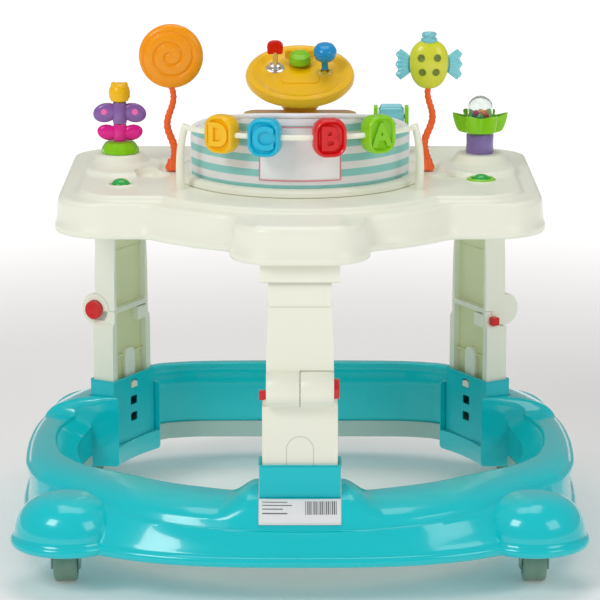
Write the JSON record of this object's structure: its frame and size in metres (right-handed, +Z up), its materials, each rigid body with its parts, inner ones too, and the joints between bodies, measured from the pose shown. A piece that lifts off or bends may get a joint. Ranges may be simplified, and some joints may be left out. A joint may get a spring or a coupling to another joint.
{
  "type": "baby walker",
  "caption": "Round baby walker on swivel casters with folding legs, a lobed play tray, a turning seat with striped back, and spinning toys.",
  "frame": {"origin": "on the floor, under the middle of the base ring", "axes": "+Z up, -Y the side of the seat's back, +Y where the child faces, +X the child's right-hand side seen from behind"},
  "size_m": [0.66, 0.624, 0.61],
  "materials": {
    "ivory": "glossy moulded plastic",
    "turquoise": "glossy moulded plastic",
    "pale_band": "translucent satin plastic",
    "steel": "plain steel pin",
    "fork_grey": "satin plastic",
    "wheel_green": "translucent satin plastic",
    "red": "glossy plastic",
    "striped_cloth": "padded woven polyester with printed stripes",
    "sling_cloth": "woven polyester",
    "yellow": "glossy plastic",
    "cyan": "glossy plastic",
    "lime": "glossy plastic",
    "orange": "soft rubbery plastic",
    "amber": "glossy plastic",
    "fish_yellow": "glossy plastic",
    "ice_blue": "translucent plastic",
    "magenta": "glossy plastic",
    "purple": "glossy plastic",
    "clear": "clear plastic",
    "olive": "glossy plastic",
    "silver": "metallised plastic",
    "blue": "glossy plastic",
    "green": "glossy plastic"
  },
  "bodies": {
    "base": {"base_shell": "turquoise", "base_band": "pale_band", "foot_pins": "steel"},
    "front_left_fork": {"front_left_caster_fork": "fork_grey"},
    "front_left_wheel": {"front_left_caster_wheel": "wheel_green"},
    "front_right_fork": {"front_right_caster_fork": "fork_grey"},
    "front_right_wheel": {"front_right_caster_wheel": "wheel_green"},
    "rear_left_fork": {"rear_left_caster_fork": "fork_grey"},
    "rear_left_wheel": {"rear_left_caster_wheel": "wheel_green"},
    "rear_right_fork": {"rear_right_caster_fork": "fork_grey"},
    "rear_right_wheel": {"rear_right_caster_wheel": "wheel_green"},
    "front_foot": {"front_socket": "turquoise"},
    "front_lower": {"front_lower_link": "ivory"},
    "front_upper": {"front_upper_link": "ivory"},
    "front_release": {"front_knee_button": "red"},
    "front_latch": {"front_fold_latch": "red"},
    "front_peg": {"front_height_peg": "turquoise"},
    "left_foot": {"left_socket": "turquoise"},
    "left_lower": {"left_lower_link": "ivory"},
    "left_upper": {"left_upper_link": "ivory"},
    "left_release": {"left_knee_button": "red"},
    "left_latch": {"left_fold_latch": "red"},
    "left_peg": {"left_height_peg": "turquoise"},
    "right_foot": {"right_socket": "turquoise"},
    "right_lower": {"right_lower_link": "ivory"},
    "right_upper": {"right_upper_link": "ivory"},
    "right_release": {"right_knee_button": "red"},
    "right_latch": {"right_fold_latch": "red"},
    "right_peg": {"right_height_peg": "turquoise"},
    "tray": {"tray_shell": "ivory", "head_pins": "steel", "bead_hoop": "ivory", "butterfly_base": "lime", "rattle_drum": "purple", "console": "olive", "roller_frame": "lime"},
    "seat": {"seat_ring": "ivory", "backrest": "striped_cloth", "seat_sling": "sling_cloth"},
    "bead_d": {"bead_d": "yellow"},
    "bead_c": {"bead_c": "cyan"},
    "bead_b": {"bead_b": "red"},
    "bead_a": {"bead_a": "lime"},
    "lollipop": {"lollipop_stalk": "orange", "lollipop_disc": "amber"},
    "fish": {"fish_stalk": "orange", "fish_body": "fish_yellow", "fish_fins": "ice_blue"},
    "butterfly_lower": {"butterfly_lower_wings": "magenta"},
    "butterfly_upper": {"butterfly_upper_wings": "purple", "butterfly_head": "yellow"},
    "rattle_top": {"rattle_crown": "lime", "rattle_dome": "clear"},
    "wheel": {"steering_wheel": "yellow"},
    "horn": {"horn_button": "lime"},
    "key": {"ignition_key": "silver"},
    "shifter": {"shift_knob": "blue"},
    "left_button": {"left_push_button": "green"},
    "right_button": {"right_push_button": "green"},
    "roller": {"roller_drum": "clear"}
  },
  "joints": [
    {"name": "front_left_swivel", "type": "hinge", "parent": "base", "child": "front_left_fork", "pos_m": [-0.268, -0.218, 0.0484], "axis": [0, 0, 1], "continuous": true},
    {"name": "front_left_roll", "type": "hinge", "parent": "front_left_fork", "child": "front_left_wheel", "pos_m": [-0.268, -0.203, 0.021], "axis": [1, 0, 0], "continuous": true},
    {"name": "front_right_swivel", "type": "hinge", "parent": "base", "child": "front_right_fork", "pos_m": [0.268, -0.218, 0.0484], "axis": [0, 0, 1], "continuous": true},
    {"name": "front_right_roll", "type": "hinge", "parent": "front_right_fork", "child": "front_right_wheel", "pos_m": [0.268, -0.203, 0.021], "axis": [1, 0, 0], "continuous": true},
    {"name": "rear_left_swivel", "type": "hinge", "parent": "base", "child": "rear_left_fork", "pos_m": [-0.268, 0.218, 0.0484], "axis": [0, 0, 1], "continuous": true},
    {"name": "rear_left_roll", "type": "hinge", "parent": "rear_left_fork", "child": "rear_left_wheel", "pos_m": [-0.268, 0.233, 0.021], "axis": [1, 0, 0], "continuous": true},
    {"name": "rear_right_swivel", "type": "hinge", "parent": "base", "child": "rear_right_fork", "pos_m": [0.268, 0.218, 0.0484], "axis": [0, 0, 1], "continuous": true},
    {"name": "rear_right_roll", "type": "hinge", "parent": "rear_right_fork", "child": "rear_right_wheel", "pos_m": [0.268, 0.233, 0.021], "axis": [1, 0, 0], "continuous": true},
    {"name": "front_fold", "type": "hinge", "parent": "base", "child": "front_foot", "pos_m": [0, -0.256, 0.092], "axis": [-1, 0, 0], "range_deg": [0, 68]},
    {"name": "front_height", "type": "slide", "parent": "front_foot", "child": "front_lower", "axis": [0, 0, 1], "range_m": [-0.042, 0]},
    {"name": "front_knee", "type": "hinge", "parent": "front_lower", "child": "front_upper", "pos_m": [0, -0.27, 0.245], "axis": [-1, 0, 0], "range_deg": [-136, 0]},
    {"name": "front_release_press", "type": "slide", "parent": "front_upper", "child": "front_release", "axis": [-1, 0, 0], "range_m": [0, 0.004], "stiffness_N_per_m": 400},
    {"name": "front_latch_press", "type": "slide", "parent": "front_lower", "child": "front_latch", "axis": [1, 0, 0], "range_m": [0, 0.004], "stiffness_N_per_m": 400},
    {"name": "front_peg_press", "type": "slide", "parent": "front_lower", "child": "front_peg", "axis": [0, -1, 0], "range_m": [0, 0.003], "stiffness_N_per_m": 400},
    {"name": "left_fold", "type": "hinge", "parent": "base", "child": "left_foot", "pos_m": [-0.2217, 0.128, 0.092], "axis": [0.5, 0.866, 0], "range_deg": [0, 68]},
    {"name": "left_height", "type": "slide", "parent": "left_foot", "child": "left_lower", "axis": [0, 0, 1], "range_m": [-0.042, 0]},
    {"name": "left_knee", "type": "hinge", "parent": "left_lower", "child": "left_upper", "pos_m": [-0.23383, 0.135, 0.245], "axis": [0.5, 0.866, 0], "range_deg": [-136, 0]},
    {"name": "left_release_press", "type": "slide", "parent": "left_upper", "child": "left_release", "axis": [0.5, 0.866, 0], "range_m": [0, 0.004], "stiffness_N_per_m": 400},
    {"name": "left_latch_press", "type": "slide", "parent": "left_lower", "child": "left_latch", "axis": [-0.5, -0.866, 0], "range_m": [0, 0.004], "stiffness_N_per_m": 400},
    {"name": "left_peg_press", "type": "slide", "parent": "left_lower", "child": "left_peg", "axis": [-0.866, 0.5, 0], "range_m": [0, 0.003], "stiffness_N_per_m": 400},
    {"name": "right_fold", "type": "hinge", "parent": "base", "child": "right_foot", "pos_m": [0.2217, 0.128, 0.092], "axis": [0.5, -0.866, 0], "range_deg": [0, 68]},
    {"name": "right_height", "type": "slide", "parent": "right_foot", "child": "right_lower", "axis": [0, 0, 1], "range_m": [-0.042, 0]},
    {"name": "right_knee", "type": "hinge", "parent": "right_lower", "child": "right_upper", "pos_m": [0.23383, 0.135, 0.245], "axis": [0.5, -0.866, 0], "range_deg": [-136, 0]},
    {"name": "right_release_press", "type": "slide", "parent": "right_upper", "child": "right_release", "axis": [0.5, -0.866, 0], "range_m": [0, 0.004], "stiffness_N_per_m": 400},
    {"name": "right_latch_press", "type": "slide", "parent": "right_lower", "child": "right_latch", "axis": [-0.5, 0.866, 0], "range_m": [0, 0.004], "stiffness_N_per_m": 400},
    {"name": "right_peg_press", "type": "slide", "parent": "right_lower", "child": "right_peg", "axis": [0.866, 0.5, 0], "range_m": [0, 0.003], "stiffness_N_per_m": 400},
    {"name": "front_head", "type": "hinge", "parent": "front_upper", "child": "tray", "pos_m": [0, -0.256, 0.398], "axis": [-1, 0, 0], "range_deg": [0, 68]},
    {"name": "seat_turn", "type": "hinge", "parent": "tray", "child": "seat", "pos_m": [0, 0, 0.434], "axis": [0, 0, 1], "continuous": true},
    {"name": "bead_d_spin", "type": "hinge", "parent": "tray", "child": "bead_d", "pos_m": [-0.08774, -0.13008, 0.506], "axis": [0.829, -0.5592, 0], "continuous": true},
    {"name": "bead_c_spin", "type": "hinge", "parent": "tray", "child": "bead_c", "pos_m": [-0.03929, -0.1519, 0.506], "axis": [0.9681, -0.2504, 0], "continuous": true},
    {"name": "bead_b_spin", "type": "hinge", "parent": "tray", "child": "bead_b", "pos_m": [0.03262, -0.15347, 0.506], "axis": [0.9781, 0.2079, 0], "continuous": true},
    {"name": "bead_a_spin", "type": "hinge", "parent": "tray", "child": "bead_a", "pos_m": [0.08774, -0.13008, 0.506], "axis": [0.829, 0.5592, 0], "continuous": true},
    {"name": "lollipop_sway", "type": "hinge", "parent": "tray", "child": "lollipop", "pos_m": [-0.152, 0.02, 0.4404], "axis": [0, 1, 0], "range_deg": [-8, 8], "stiffness_Nm_per_rad": 1.5},
    {"name": "fish_sway", "type": "hinge", "parent": "tray", "child": "fish", "pos_m": [0.152, 0.022, 0.4404], "axis": [0, 1, 0], "range_deg": [-8, 8], "stiffness_Nm_per_rad": 1.5},
    {"name": "butterfly_lower_spin", "type": "hinge", "parent": "tray", "child": "butterfly_lower", "pos_m": [-0.216, 0.062, 0.47], "axis": [0, 0, 1], "continuous": true},
    {"name": "butterfly_upper_spin", "type": "hinge", "parent": "tray", "child": "butterfly_upper", "pos_m": [-0.216, 0.062, 0.5], "axis": [0, 0, 1], "continuous": true},
    {"name": "rattle_spin", "type": "hinge", "parent": "tray", "child": "rattle_top", "pos_m": [0.216, 0.062, 0.48], "axis": [0, 0, 1], "continuous": true},
    {"name": "wheel_turn", "type": "hinge", "parent": "tray", "child": "wheel", "pos_m": [0, 0.202, 0.519], "axis": [0, -0.3746, 0.9272], "range_deg": [-25, 25]},
    {"name": "horn_press", "type": "slide", "parent": "wheel", "child": "horn", "axis": [0, 0.3746, -0.9272], "range_m": [0, 0.003], "stiffness_N_per_m": 400},
    {"name": "key_turn", "type": "hinge", "parent": "wheel", "child": "key", "pos_m": [-0.031, 0.21402, 0.53464], "axis": [0, -0.3746, 0.9272], "range_deg": [0, 60]},
    {"name": "shifter_rock", "type": "hinge", "parent": "wheel", "child": "shifter", "pos_m": [0.031, 0.20472, 0.52829], "axis": [1, 0, 0], "range_deg": [-10, 10]},
    {"name": "left_button_press", "type": "slide", "parent": "tray", "child": "left_button", "axis": [0, 0, -1], "range_m": [0, 0.003], "stiffness_N_per_m": 400},
    {"name": "right_button_press", "type": "slide", "parent": "tray", "child": "right_button", "axis": [0, 0, -1], "range_m": [0, 0.003], "stiffness_N_per_m": 400},
    {"name": "roller_spin", "type": "hinge", "parent": "tray", "child": "roller", "pos_m": [0.112, 0.15, 0.478], "axis": [1, 0, 0], "continuous": true}
  ],
  "couplings": [
    {"joint": "front_knee", "follows": "front_fold", "ratio": -2},
    {"joint": "left_knee", "follows": "front_fold", "ratio": -2},
    {"joint": "left_fold", "follows": "front_fold", "ratio": 1},
    {"joint": "left_height", "follows": "front_height", "ratio": 1},
    {"joint": "right_knee", "follows": "front_fold", "ratio": -2},
    {"joint": "right_fold", "follows": "front_fold", "ratio": 1},
    {"joint": "right_height", "follows": "front_height", "ratio": 1},
    {"joint": "front_head", "follows": "front_fold", "ratio": 1}
  ]
}
